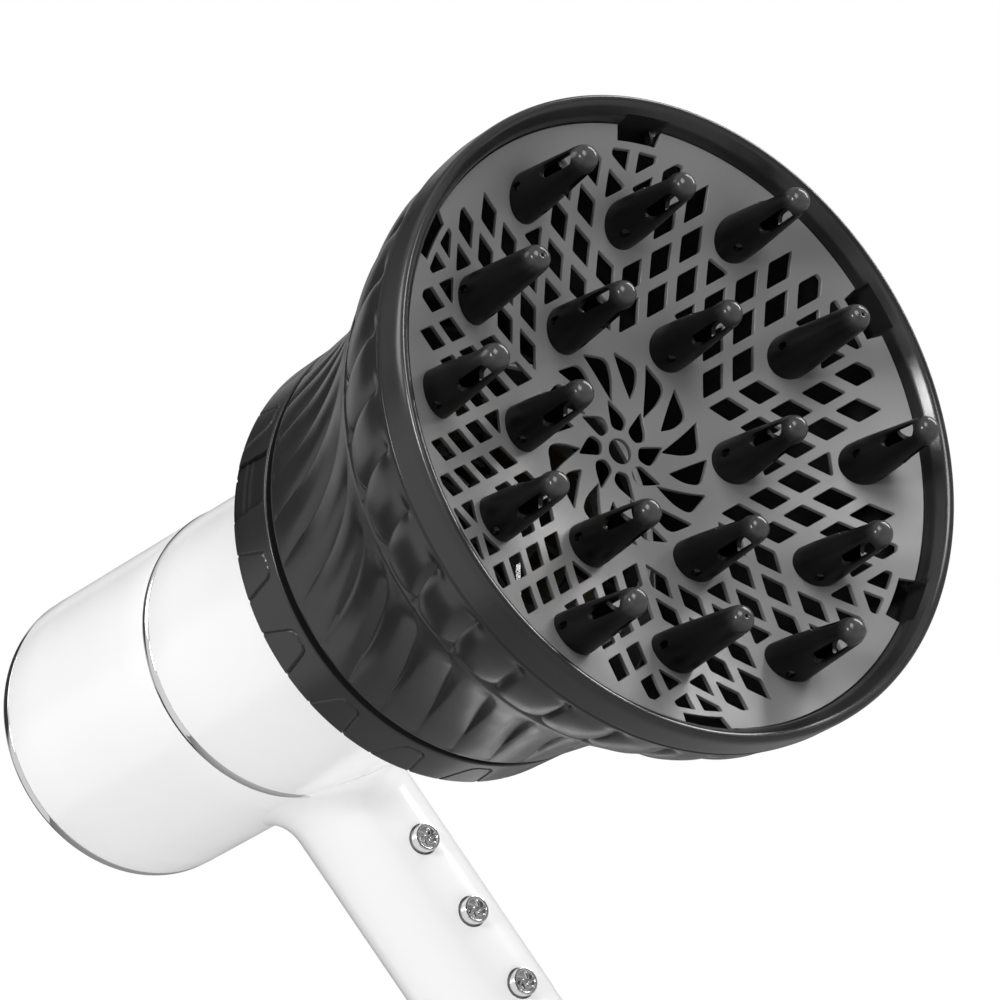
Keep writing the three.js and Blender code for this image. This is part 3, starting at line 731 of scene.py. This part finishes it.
WINDOWS = [LATTICE_TURN + 30 + 60 * k for k in range(6)]
WINDOW_HALF = 6.2
WINDOW_R = 78.0            # where a window's width is measured
WINDOW_DEPTH = 3.4         # of the notch in the plate's edge
LIP_R = 78.9               # how far the windows open the lip


def degrees_from(angle, middle):
    """The way round from one direction to another, from -180 to 180 degrees."""
    return np.mod(angle - middle + 180, 360) - 180


def window_cover(angle, r):
    """1 inside a snap window's width and 0 outside it."""
    cover = np.zeros_like(r)
    for middle in WINDOWS:
        off = np.radians(np.abs(degrees_from(angle, middle)))
        cover += smooth_step((WINDOW_HALF - off * WINDOW_R) / 0.4)
    return cover


def lip_lift(angle, r, y):
    """Opens the lip's inner slope and the plate's ledge at each snap window."""
    inner = (y > 2.7) & (y < 12.6) & (r < LIP_R)
    return np.where(inner, window_cover(angle, r) * np.clip(LIP_R - r, 0, None), 0)


def build_bowl():
    lip = refined(rounded([
        (77.15, 6.4, 0.2), (77.7, 3.4, 1.0), (79.9, 0.0, 1.3), (RIM_R - 0.1, 0.0, 2.6),
        (RIM_R, 9.2, 0.35), (RIM_R - 0.75, 9.45, 0.15), (RIM_R - 0.75, 10.0, 0.15),
        (RIM_R - 0.15, FACET_START, 0.1),
    ], 6, closed=False), 0.9, closed=False)
    side_y = np.concatenate([np.linspace(10.8, RIDGE_Y - 5, 26), np.linspace(RIDGE_Y - 4.6, RIDGE_Y, 14),
                             np.linspace(RIDGE_Y + 0.6, FLUTE_END, 70)])
    side = np.stack([np.interp(side_y, WAIST[:, 1], WAIST[:, 0]), side_y], -1)
    back = refined(rounded([
        (CLAMP_R, BOWL_END - 0.3, 0), (CLAMP_R - 0.4, BOWL_END, 0.3), (SPIGOT_R, BOWL_END, 0.1),
        (SPIGOT_R, SPIGOT_END, 0.3), (SPIGOT_R - 1.5, SPIGOT_END, 0.3), (SPIGOT_R - 1.5, BOWL_END, 0.1),
        (NECK_R, BOWL_END, 0.5), (NECK_R, BOWL_END - FLANGE, 0.5), (56.6, BOWL_END - FLANGE, 1.5),
        (58.6, 73, 6), (63.4, 54.5, 6), (71.2, RIDGE_Y, 4), (78.8, 14.2, 2), (79.0, 12.2, 0.2),
        (75.4, 12.0, 0.2), (75.4, 9.9, 0.2), (77.15, 9.5, 0.1),
    ], 5, closed=False), 3.0, closed=False)
    outline = np.concatenate([lip, side, back])
    home = np.linspace(1, 0, len(back)) * (swirl(FLUTE_END) - FIRST_CREST)
    turn = np.concatenate([np.full(len(lip), FIRST_CREST), swirl(side_y), FIRST_CREST + home])
    points, faces = revolve(outline, FLUTES * 26,
                            lambda a, r, y: bowl_lift(a, r, y) + lip_lift(a, r, y), turn)
    make_piece("bowl_shell", on_diffuser(points), faces, "diffuser", CHARCOAL, "charcoal",
               ["diffuser_bowl"], sharp=55)


# -------------------- diffuser plate

def prong_places():
    """(CAD node, distance from the axis, direction, way its first slot faces, closed tip) of each prong."""
    places = []
    for k in range(6):
        corner = LATTICE_TURN + 60 * k
        slot = corner + PRONG_TURN
        places.append((f"inner_prong_{k + 1}", 2 * math.sqrt(3) * PITCH, corner, slot, False))
        places.append((f"outer_prong_{k + 1}", 4 * math.sqrt(3) * PITCH, corner, slot, False))
        places.append((f"middle_prong_{k + 1}", 6 * PITCH, corner + 30, slot, k % 2 == 0))
    return places


def clipped(outline, keep):
    """Sutherland-Hodgman: the part of a convex outline where keep(point) is positive."""
    result = []
    count = len(outline)
    for i in range(count):
        a, b = outline[i], outline[(i + 1) % count]
        ka, kb = keep(a), keep(b)
        if ka > 0:
            result.append(a)
        if (ka > 0) != (kb > 0):
            result.append(a + (b - a) * ka / (ka - kb))
    return result


def area(outline):
    u, v = np.array(outline).T
    return 0.5 * float(np.sum(u * np.roll(v, -1) - v * np.roll(u, -1)))


def diamond_holes():
    """Holes of the lattice, clipped to its rim and to the pads round the prongs."""
    holes = []
    half = (PITCH - STRIP / math.sin(math.radians(60))) / 2
    rows = math.ceil(LATTICE_R / PITCH) + 1
    pads = [np.array(polar(r, a)) for _, r, a, _, _ in prong_places()]
    for sixth in range(6):
        middle = LATTICE_TURN + 60 * sixth
        edge_a, edge_b = np.array(polar(1, middle - 30)), np.array(polar(1, middle + 30))
        for i in range(rows):
            for j in range(rows):
                if i + j < FIRST_CELL:
                    continue
                centre = ((i + 0.5) * edge_a + (j + 0.5) * edge_b) * PITCH
                if np.linalg.norm(centre) > LATTICE_R:
                    continue
                corners = [centre + s * half * edge_a + t * half * edge_b for s, t in SQUARE]
                corners = clip_to_rim(corners)
                corners = clip_to_pads(corners, pads)
                if len(corners) >= 3 and abs(area(corners)) > HOLE_LEAST:
                    holes.append(corners)
    return holes


def clip_to_rim(corners):
    """Cuts a hole by the chord of the lattice's rim nearest to it."""
    if max(np.linalg.norm(c) for c in corners) <= LATTICE_R:
        return corners
    middle = np.mean(corners, 0)
    out = middle / np.linalg.norm(middle)
    return clipped(corners, lambda p: LATTICE_R - 0.3 - float(np.dot(p, out)))


def clip_to_pads(corners, pads):
    for pad in pads:
        if len(corners) < 3:
            break
        if min(np.linalg.norm(c - pad) for c in refined(np.array(corners), 1.0)) > PAD_R:
            continue
        middle = np.mean(corners, 0)
        away = middle - pad
        if np.linalg.norm(away) < 3.2:
            return []
        away = away / np.linalg.norm(away)
        corners = clipped(corners, lambda p: float(np.dot(p - pad, away)) - PAD_R)
    return corners


def flower_holes():
    """Centre hole, eight leaf-shaped petals and sixteen fin-shaped ones, every other one longer."""
    holes = [circle(3.3, 40)]
    for k in range(8):
        turn = LATTICE_TURN + 45 * k
        holes.append(petal([(5.5, -17, 1.4), (9.4, -21, 3.5), (13.3, 11, 0.8), (9.9, 13, 3),
                            (6.1, 17, 1.4)], turn))
    for k in range(16):
        turn = LATTICE_TURN + 14 + 22.5 * k
        inner = 12.4 if k % 2 == 0 else 14.4
        holes.append(petal([(inner, -9, 0.5), (18.6, -11.8, 3.5), (23.4, -8.4, 2.4), (25.2, 9.5, 0.8),
                            (20.4, 4.5, 4)], turn))
    return holes


def petal(shape, turn):
    corners = []
    for r, lean, radius in shape:
        u, v = polar(r, turn + lean)
        corners.append((u, v, radius))
    return rounded(corners, 5)


def plate_edge():
    """The plate's round edge, notched by the snap windows."""
    edge = []
    for k in range(720):
        angle = k / 2
        off = min(abs(degrees_from(angle, middle)) for middle in WINDOWS)
        reach = PLATE_R * math.sin(math.radians(off))
        r = PLATE_R - WINDOW_DEPTH if off < 30 and reach < WINDOW_HALF else PLATE_R
        edge.append(polar(r, angle))
    return edge


def build_plate():
    """The pierced plate, filled flat with eased edges, then bent to the dish."""
    edge = 0.28
    curve = bpy.data.curves.new("plate", "CURVE")
    curve.dimensions = "2D"
    curve.fill_mode = "BOTH"
    curve.extrude = PLATE_SHELL / 2 - edge
    curve.bevel_depth = edge
    curve.bevel_resolution = 2
    curve.offset = -edge
    outlines = [plate_edge()] + flower_holes()
    outlines += [rounded([(u, v, HOLE_CORNER) for u, v in corners], 3) for corners in diamond_holes()]
    for outline in outlines:
        spline = curve.splines.new("POLY")
        spline.points.add(len(outline) - 1)
        for point, (u, v) in zip(spline.points, outline):
            point.co = (u, v, 0, 1)
        spline.use_cyclic_u = True
    flat = add_object("plate_flat", curve)
    mesh = as_mesh(flat)
    bpy.data.objects.remove(flat)
    work = bmesh.new()
    work.from_mesh(mesh)
    bmesh.ops.remove_doubles(work, verts=work.verts, dist=1e-4)
    bmesh.ops.triangulate(work, faces=work.faces)
    for _ in range(3):
        long_edges = [e for e in work.edges if e.calc_length() > PLATE_EDGE]
        bmesh.ops.subdivide_edges(work, edges=long_edges, cuts=1)
        bmesh.ops.triangulate(work, faces=work.faces)
    for vertex in work.verts:
        u, v, w = vertex.co
        r = math.hypot(u, v)
        height = dish(r) + PLATE_SHELL / 2 - w
        vertex.co = on_diffuser((u, height, v))
    bmesh.ops.recalc_face_normals(work, faces=work.faces)
    work.to_mesh(mesh)
    work.free()
    plate = add_object("pierced_plate", mesh)
    dish_normals(mesh)
    claim(plate, "diffuser", PLATE_GREY, ["diffuser_plate"])


def dish_normals(mesh):
    """Shades the plate's two faces by the dish itself, so that its thin triangles don't show."""
    mesh.shade_smooth()
    mesh.set_sharp_from_angle(angle=math.radians(30))
    corner_normals = []
    normals = [tuple(n.vector) for n in mesh.corner_normals]
    for polygon in mesh.polygons:
        for corner in polygon.loop_indices:
            point = mesh.vertices[mesh.loops[corner].vertex_index].co
            u, v = point.x / MM, point.z / MM - AXIS_Z
            up = Vector((-2 * DISH_CURVE * u, -1, -2 * DISH_CURVE * v)).normalized()
            facing = polygon.normal.dot(up)
            if abs(facing) > 0.96:
                corner_normals.append(tuple(up if facing > 0 else -up))
            else:
                corner_normals.append(normals[corner])
    mesh.normals_split_custom_set(corner_normals)


# -------------------- prongs

def prong_mesh(closed):
    """A hollow tapered prong along Y, its tip at 0, with three vents and, if open, three slots."""
    length = (PRONG_LENGTH_CLOSED if closed else PRONG_LENGTH) + PRONG_ROOT
    tip = PRONG_TIP_R
    start = [(0.45, 0.25, 0.15), (0.9, 0.05, 0.4)] if closed else [(0.01, 0.0, 0)]
    outer = start + [(1.5, 0.1, 0.7), (2.8, 0.8, 0.9), (tip, 2.6, 1.4), (PRONG_R - 0.25, length - 6, 3),
                     (PRONG_R, length, 0.1)]
    inner = [(PRONG_R - 1.2, length, 0.1), (tip - 1.0, 1.8, 1.2), (0.45 if closed else 0.01, 1.3, 0)]
    outline = refined(rounded(outer + inner, 8), 1.6)
    points, faces = revolve(outline, 64)
    prong = loose_mesh("prong", points, faces)
    cuts = [(length - 8.6, length - 5.6, 2.0)]
    if not closed:
        cuts.append((3.4, 14.6, 3.6))
    tools = [radial_slot(120 * k, *size) for size in cuts for k in range(3)]
    cut(prong, [join(tools)])
    return prong


def radial_slot(turn, start, end, width):
    """A round-ended tool that cuts one wall of a prong, from start to end along its length."""
    c, s = polar(1, turn)
    outline = capsule(start, end, width / 2)
    near, far = ([(depth * c - across * s, y, depth * s + across * c) for across, y in outline]
                 for depth in (1.2, PRONG_R + 3))
    return loose_mesh("slot", *prism(near, far))


def build_prongs():
    masters = {closed: prong_mesh(closed) for closed in (False, True)}
    for node, r, angle, slot, closed in prong_places():
        length = PRONG_LENGTH_CLOSED if closed else PRONG_LENGTH
        u, v = polar(r, angle)
        mesh = masters[closed].data.copy()
        spin = Matrix.Rotation(-math.radians(slot), 4, "Y")
        place = Matrix.Translation((u, dish(r) - length + RIM_Y, v + AXIS_Z))
        mesh.transform(Matrix.Scale(MM, 4) @ place @ spin)
        prong = add_object(node.replace("_prong_", "_finger_"), mesh)
        shade(prong)
        claim(prong, "diffuser", PRONG, [node])
    for master in masters.values():
        remove_object(master)


# -------------------- clamp ring and claws

TAB_OUTLINE = rounded([
    (-6.3, CLAMP_REAR + 1, 0), (-2.9, CLAMP_FRONT + 3.0, 2.4), (2.9, CLAMP_FRONT + 3.0, 2.4),
    (6.3, CLAMP_REAR + 1, 0),
], 6, closed=False)


GROOVE_HALF = 0.34
GROOVE_DEPTH = 0.55
PAD_RECESS = 1.7
RIBS = (4.5, 7.0)          # how far each grip rib lies in front of the clamp ring's rear


def tab_offset(angle):
    """How far an angle is from the nearest tab's middle, in millimetres round the ring."""
    pitch = 360 / TABS
    return np.radians(np.mod(angle - TAB_MIDDLE + pitch / 2, pitch) - pitch / 2) * CLAMP_R


def tab_groove(across, y):
    """Depth of the fine groove round each tab, from 0 to 1."""
    distance = np.full(across.shape, 99.0)
    for a, b in zip(TAB_OUTLINE[:-1], TAB_OUTLINE[1:]):
        run = b - a
        along = np.clip(((across - a[0]) * run[0] + (y - a[1]) * run[1]) / (run @ run), 0, 1)
        away = np.hypot(across - a[0] - along * run[0], y - a[1] - along * run[1])
        distance = np.minimum(distance, away)
    return np.clip(1 - distance / GROOVE_HALF, 0, 1) ** 0.5


def pad_half(y):
    """Half of a push-pad's width at a height, and less than nothing outside the pad."""
    inside = (y > CLAMP_FRONT + 1.4) & (y < CLAMP_REAR - 0.4)
    return np.where(inside, 6.6 + 0.05 * (y - CLAMP_FRONT), -9.0)


def clamp_lift(angle, r, y):
    groove = -GROOVE_DEPTH * tab_groove(tab_offset(angle), y)
    pad = np.zeros(r.shape, bool)
    for middle in RELEASE_PADS:
        off = np.radians(degrees_from(angle, middle)) * CLAMP_R
        pad |= np.abs(off) < pad_half(y) + 0.3
    return np.where(r > CLAMP_R - 0.9, np.where(pad, -PAD_RECESS, groove), 0)


def build_clamp():
    outer = refined(rounded([
        (CLAMP_R - 2.8, CLAMP_FRONT, 0.1), (CLAMP_R, CLAMP_FRONT, 0.5), (CLAMP_R - 0.25, CLAMP_REAR, 1.2),
        (CLAMP_R - 3.5, CLAMP_REAR, 0.5),
    ], 5, closed=False), 0.35, closed=False)
    inner = refined(rounded([
        (CLAMP_R - 4.5, CLAMP_REAR, 0), (COLLAR_R, CLAMP_REAR, 0.6), (COLLAR_R, CLAMP_REAR - 2.2, 0.5),
        (CLAMP_R - 3.0, CLAMP_REAR - 2.2, 1.0), (CLAMP_R - 2.8, CLAMP_FRONT + 1, 0),
    ], 5, closed=False), 3.0, closed=False)
    points, faces = revolve(np.concatenate([outer, inner]), 1260, clamp_lift)
    make_piece("clamp_collar", on_diffuser(points), faces, "clamp_ring", CHARCOAL, "charcoal",
               ["clamp_ring"], sharp=40)
    for index, middle in enumerate(RELEASE_PADS):
        build_release_pad(f"release_pad_{index + 1}", middle)


def build_release_pad(name, middle):
    """A black push-pad that lies in a recess of the clamp ring, with two grip ribs."""
    heights = np.linspace(CLAMP_FRONT + 1.7, CLAMP_REAR - 0.7, 26)
    shares = np.linspace(-1, 1, 25)
    across = pad_half(heights)[:, None] * shares[None, :]
    y = np.repeat(heights[:, None], len(shares), 1)
    rib = 0.45 * np.maximum(*(np.exp(-((y - CLAMP_REAR + place) / 0.45) ** 2) for place in RIBS))
    eased = 0.35 * np.abs(shares)[None, :] ** 12
    a = np.radians(middle) + across / CLAMP_R
    points = np.concatenate([np.stack([r * np.cos(a), y, r * np.sin(a)], -1).reshape(-1, 3)
                             for r in (CLAMP_R - 1.6, CLAMP_R - 0.75 + rib - eased)])
    rows, columns = y.shape
    count = rows * columns
    faces = []
    for level in (0, count):
        for i in range(rows - 1):
            first = level + i * columns
            faces += [(k, k + 1, k + columns + 1, k + columns) for k in range(first, first + columns - 1)]
    edge = list(range(columns)) + [i * columns + columns - 1 for i in range(1, rows)]
    edge += [(rows - 1) * columns + j for j in range(columns - 2, -1, -1)]
    edge += [i * columns for i in range(rows - 2, 0, -1)]
    faces += [(a, b, count + b, count + a) for a, b in zip(edge, edge[1:] + edge[:1])]
    make_piece(name, on_diffuser(points), faces, "clamp_ring", MATT_BLACK, "gloss_black")


def build_claws():
    """Rubber-faced claws: the CAD block with eased edges."""
    for k in range(6):
        node = f"clamp_claw_{k + 1}"
        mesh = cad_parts[node].data.copy()
        claw = add_object(f"grip_claw_{k + 1}", mesh)
        work = bmesh.new()
        work.from_mesh(mesh)
        bmesh.ops.remove_doubles(work, verts=work.verts, dist=1e-6)
        bmesh.ops.dissolve_limit(work, angle_limit=math.radians(3), verts=work.verts, edges=work.edges)
        work.to_mesh(mesh)
        work.free()
        ease = claw.modifiers.new("ease", "BEVEL")
        ease.width = 0.5 * MM
        ease.segments = 3
        ease.limit_method = "ANGLE"
        bake(claw)
        shade(claw, 40)
        claim(claw, f"claw_{k + 1}", RUBBER, [node])


# -------------------- inner pieces that keep their CAD shape

def paint_inner_pieces():
    finishes = {
        GAUZE: ["filter_screen"],
        CHARCOAL: ["stator_vanes", "motor_end_cap", "nozzle_ring"],
        STEEL: ["motor_can", "motor_shaft", "heater_coil"],
        COPPER: ["motor_rotor"],
        BLACK: ["fan_impeller", "thermal_cutout", "outlet_grille", "ion_generator", "power_switch",
                "speed_switch", "heat_switch"],
        MICA: ["heater_tube", "heater_frame"],
        CERAMIC: ["thermal_fuse"],
        BOARD: ["control_board"],
        RUBBER: ["power_lead"],
    }
    for material, names in finishes.items():
        for name in names:
            paint(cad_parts[name], material)


# -------------------- camera, light and floor

VIEW_AZIMUTH = -40.95
VIEW_ELEVATION = 3.234
VIEW_ROLL = 33.99          # the camera leans to its right, so the handle runs to the lower right
VIEW_DISTANCE = 1.0795     # from the middle of the rim
RIM_RIGHT, RIM_UP = 0.0450, 0.0211     # where the middle of the rim stands in the view
LENS = 163.4


def build_camera():
    data = bpy.data.cameras.new("camera")
    data.sensor_width = 36
    data.lens = LENS
    camera = add_object("camera", data)
    a, e = math.radians(VIEW_AZIMUTH), math.radians(VIEW_ELEVATION)
    back = Vector((math.sin(a) * math.cos(e), -math.cos(a) * math.cos(e), math.sin(e)))
    turn = back.to_track_quat("Z", "Y").to_matrix().to_4x4()
    roll = Matrix.Rotation(math.radians(-VIEW_ROLL), 4, "Z")
    rim = Vector(on_diffuser((0, 0, 0)))
    aim = Matrix.Translation((-RIM_RIGHT, -RIM_UP, VIEW_DISTANCE))
    camera.matrix_world = Matrix.Translation(rim) @ turn @ roll @ aim
    scene.camera = camera


def area_light(name, place, target, size, power):
    data = bpy.data.lights.new(name, "AREA")
    data.shape = "RECTANGLE"
    data.size, data.size_y = size
    data.energy = power
    light = add_object(name, data)
    aim = Vector(target) - Vector(place)
    light.rotation_euler = aim.to_track_quat("-Z", "Y").to_euler()
    light.location = place


def build_lights():
    area_light("key", (-1.4, -1.0, 1.3), (0, -0.1, 0.1), (0.5, 0.5), 23)
    area_light("top", (-0.6, 0.5, 1.7), (0, 0, 0.1), (0.9, 0.9), 10)
    area_light("front", (0.2, -1.6, 0.85), (0, -0.2, 0.1), (0.7, 0.7), 16)
    area_light("right", (1.2, -0.6, 0.3), (0, -0.2, 0.1), (0.3, 0.8), 10)


def mixed(nodes, links, choice, otherwise, chosen):
    """One shader where the light path's choice is 0 and another where it is 1."""
    mix = nodes.new("ShaderNodeMixShader")
    links.new(choice, mix.inputs["Fac"])
    links.new(otherwise, mix.inputs[1])
    links.new(chosen, mix.inputs[2])
    return mix.outputs["Shader"]


def build_world():
    """A soft sky for the light, a darker room for mirror images, and plain white for the camera."""
    scene.view_settings.view_transform = "Standard"
    world = bpy.data.worlds.new("studio")
    scene.world = world
    world.use_nodes = True
    nodes, links = world.node_tree.nodes, world.node_tree.links
    place = nodes.new("ShaderNodeTexCoord")
    split = nodes.new("ShaderNodeSeparateXYZ")
    links.new(place.outputs["Generated"], split.inputs["Vector"])

    def shade_along(axis, stops):
        span = nodes.new("ShaderNodeMapRange")
        span.inputs["From Min"].default_value = -1
        span.inputs["From Max"].default_value = 1
        links.new(split.outputs[axis], span.inputs["Value"])
        return ramp(nodes, links, span.outputs["Result"], [(at, grey(value)) for at, value in stops])

    sky = nodes["Background"]
    sky.inputs["Strength"].default_value = 0.52
    links.new(shade_along("Z", [(0.0, 0.5), (0.45, 0.5), (0.6, 0.7), (1.0, 1.0)]), sky.inputs["Color"])
    # The room is bright overhead, in a band above the floor, and at its far left and right.
    both = nodes.new("ShaderNodeMix")
    both.data_type = "RGBA"
    both.blend_type = "LIGHTEN"
    both.inputs["Factor"].default_value = 1.0
    links.new(shade_along("Z", [(0.0, 0.2), (0.45, 0.03), (0.56, 0.03), (0.59, 0.5), (0.66, 0.5),
                                (0.69, 0.03), (0.8, 0.05), (1.0, 0.9)]), both.inputs["A"])
    links.new(shade_along("X", [(0.0, 0.8), (0.3, 0.75), (0.35, 0.02), (0.75, 0.02), (0.85, 0.4),
                                (1.0, 0.5)]), both.inputs["B"])
    dark = nodes.new("ShaderNodeBackground")
    links.new(both.outputs["Result"], dark.inputs["Color"])
    plain = nodes.new("ShaderNodeBackground")
    plain.inputs["Color"].default_value = grey(1.0)
    path = nodes.new("ShaderNodeLightPath")
    room = mixed(nodes, links, path.outputs["Is Glossy Ray"], sky.outputs["Background"],
                 dark.outputs["Background"])
    seen = mixed(nodes, links, path.outputs["Is Camera Ray"], room, plain.outputs["Background"])
    links.new(seen, nodes["World Output"].inputs["Surface"])


def build_floor():
    reach, level = 2.5, -0.5
    mesh = bpy.data.meshes.new("floor")
    mesh.from_pydata([(s * reach, t * reach, level) for s, t in SQUARE], [], [(0, 1, 2, 3)])
    floor = add_object("floor", mesh)
    material, nodes, links, shader = new_material("pale_floor")
    drift = noise(nodes, links, 1.5, 2)
    links.new(ramp(nodes, links, drift, [(0.3, grey(0.34)), (0.7, grey(0.36))]), shader.inputs["Base Color"])
    shader.inputs["Roughness"].default_value = 0.9
    shader.inputs["Emission Color"].default_value = grey(1.0)
    # It glows evenly to look white, less so onto the object, and not at all as a mirror image.
    path = nodes.new("ShaderNodeLightPath")
    seen = nodes.new("ShaderNodeMath")
    seen.operation = "MULTIPLY_ADD"
    seen.inputs[1].default_value = 0.1
    seen.inputs[2].default_value = 0.85
    links.new(path.outputs["Is Camera Ray"], seen.inputs[0])
    glow = nodes.new("ShaderNodeMath")
    glow.operation = "MULTIPLY_ADD"
    glow.inputs[1].default_value = -0.85
    links.new(path.outputs["Is Glossy Ray"], glow.inputs[0])
    links.new(seen.outputs["Value"], glow.inputs[2])
    links.new(glow.outputs["Value"], shader.inputs["Emission Strength"])
    paint(floor, material)


# -------------------- the scene

build_camera()
build_world()
build_lights()
build_floor()
build_housing()
build_ring()
build_rear_rim()
build_buttons()
build_foot()
build_rear_cover()
build_bowl()
build_plate()
build_prongs()
build_clamp()
build_claws()
paint_inner_pieces()
